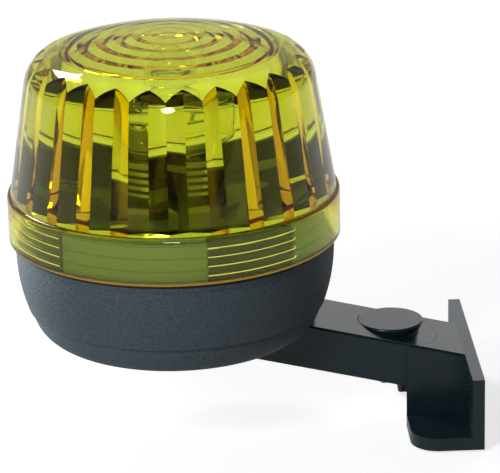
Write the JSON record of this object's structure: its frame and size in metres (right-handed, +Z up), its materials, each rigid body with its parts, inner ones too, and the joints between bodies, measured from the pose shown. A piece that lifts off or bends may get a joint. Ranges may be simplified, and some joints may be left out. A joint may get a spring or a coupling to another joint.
{
  "type": "flashing warning light",
  "caption": "Yellow screw-on prismatic dome on a dark bowl base, carried by a sloping arm that swivels in an L-shaped wall bracket; lamp and flasher board inside.",
  "frame": {"origin": "centre of the wall plate's back face", "axes": "+X into the wall, +Y along the wall to the left of a person facing it, +Z up"},
  "size_m": [0.1752, 0.125, 0.1538],
  "materials": {
    "bracket": "glossy black moulded plastic",
    "arm": "glossy black moulded plastic",
    "base": "fine-textured blue-black plastic",
    "lens": "clear yellow plastic, polished outside, prisms inside",
    "seal": "black flat rubber gasket",
    "rubber": "black rubber",
    "cap": "glossy black plastic cap",
    "steel": "zinc-plated steel",
    "deck": "black plastic",
    "board": "dark green circuit board",
    "standoff": "white nylon",
    "holder": "black bakelite",
    "brass": "plain brass",
    "bulb_shell": "bright aluminium screw shell",
    "glass": "clear glass",
    "wire": "drawn wire",
    "capacitor": "sleeved aluminium can",
    "component": "black epoxy",
    "ceramic": "white ceramic",
    "terminal": "black plastic"
  },
  "bodies": {
    "bracket": {"wall_bracket": "bracket"},
    "lamp": {"support_arm": "arm", "base_bowl": "base", "swivel_cap": "cap", "swivel_bolt": "steel", "swivel_washer": "steel", "swivel_nut": "steel", "arm_screws": "steel", "lens_seal": "seal", "cable_grommet": "rubber", "base_deck": "deck", "deck_screws": "steel", "circuit_board": "board", "board_standoffs": "standoff", "board_screws": "steel", "lamp_holder": "holder", "holder_contact": "brass", "bulb_cap": "bulb_shell", "bulb_contact": "brass", "bulb_glass": "glass", "bulb_stem": "glass", "bulb_filament": "wire", "flash_capacitors": "capacitor", "thyristor": "component", "drop_resistor": "ceramic", "diodes": "component", "terminal_block": "terminal", "terminal_screws": "steel"},
    "dome": {"lens": "lens"}
  },
  "joints": [
    {"name": "arm_swivel", "type": "hinge", "parent": "bracket", "child": "lamp", "pos_m": [-0.0313, 0, 0.0105], "axis": [0, 0, 1], "range_deg": [-27, 27]},
    {"name": "dome_twist", "type": "hinge", "parent": "lamp", "child": "dome", "pos_m": [-0.1127, 0, 0.0623], "axis": [0, 0, 1], "range_deg": [0, 45]}
  ]
}
